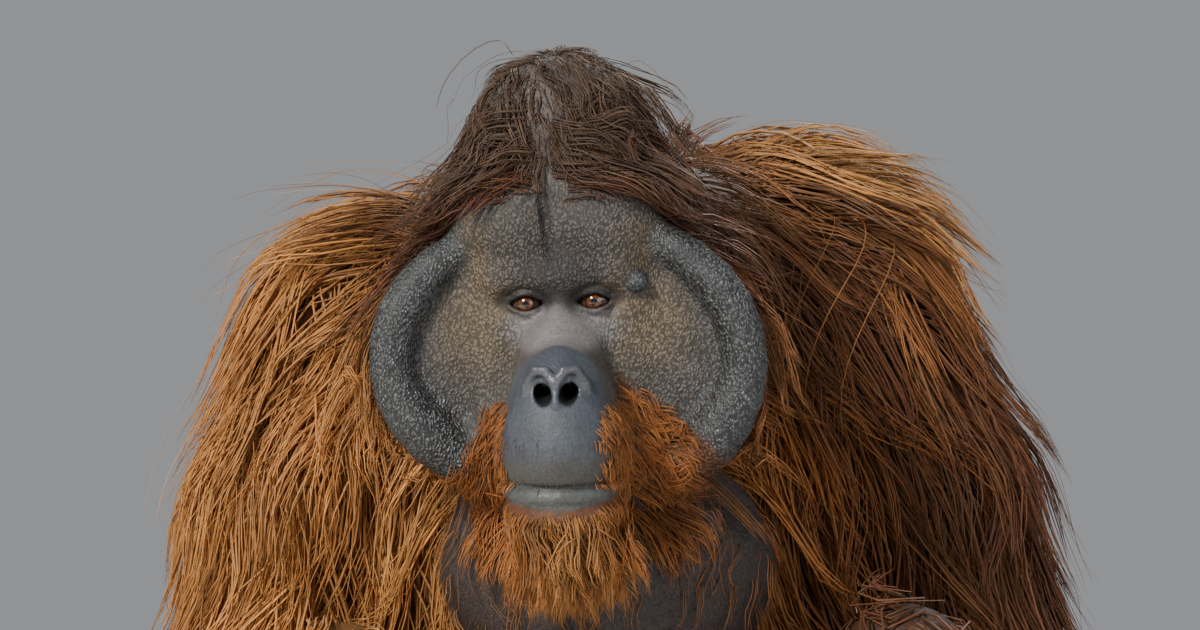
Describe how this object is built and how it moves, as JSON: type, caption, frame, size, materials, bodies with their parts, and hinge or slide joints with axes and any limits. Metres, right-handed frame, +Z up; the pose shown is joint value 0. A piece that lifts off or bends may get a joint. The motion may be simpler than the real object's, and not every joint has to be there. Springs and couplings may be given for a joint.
{
  "type": "museum-style orangutan model",
  "caption": "Still, life-size model of an adult male orangutan with cheek pads, sitting hunched with its rump, hands and feet on the floor, in a long shaggy coat",
  "frame": {"origin": "On the floor, in the middle of the flat under the rump.", "axes": "+X is the animal's left, -Y is the way that it faces, +Z is up."},
  "size_m": [0.7862, 0.8156, 0.8183],
  "materials": {
    "coat": "long, shaggy hair, golden orange to dark reddish brown",
    "face_skin": "pebbled slate-grey and tan skin",
    "body_skin": "creased dark grey skin with sparse short hair",
    "hand_skin": "dark creased skin",
    "eye": "glossy amber eye"
  },
  "bodies": {
    "root": {"torso": "coat", "neck": "coat", "head": "face_skin", "throat_pouch": "body_skin", "cheek_pad_left": "face_skin", "cheek_pad_right": "face_skin", "ear_left": "body_skin", "ear_right": "body_skin", "eye_left": "eye", "eye_right": "eye", "upper_arm_left": "coat", "upper_arm_right": "coat", "forearm_left": "coat", "forearm_right": "coat", "hand_left": "hand_skin", "hand_right": "hand_skin", "thigh_left": "coat", "thigh_right": "coat", "shin_left": "coat", "shin_right": "coat", "foot_left": "hand_skin", "foot_right": "hand_skin"}
  },
  "joints": []
}
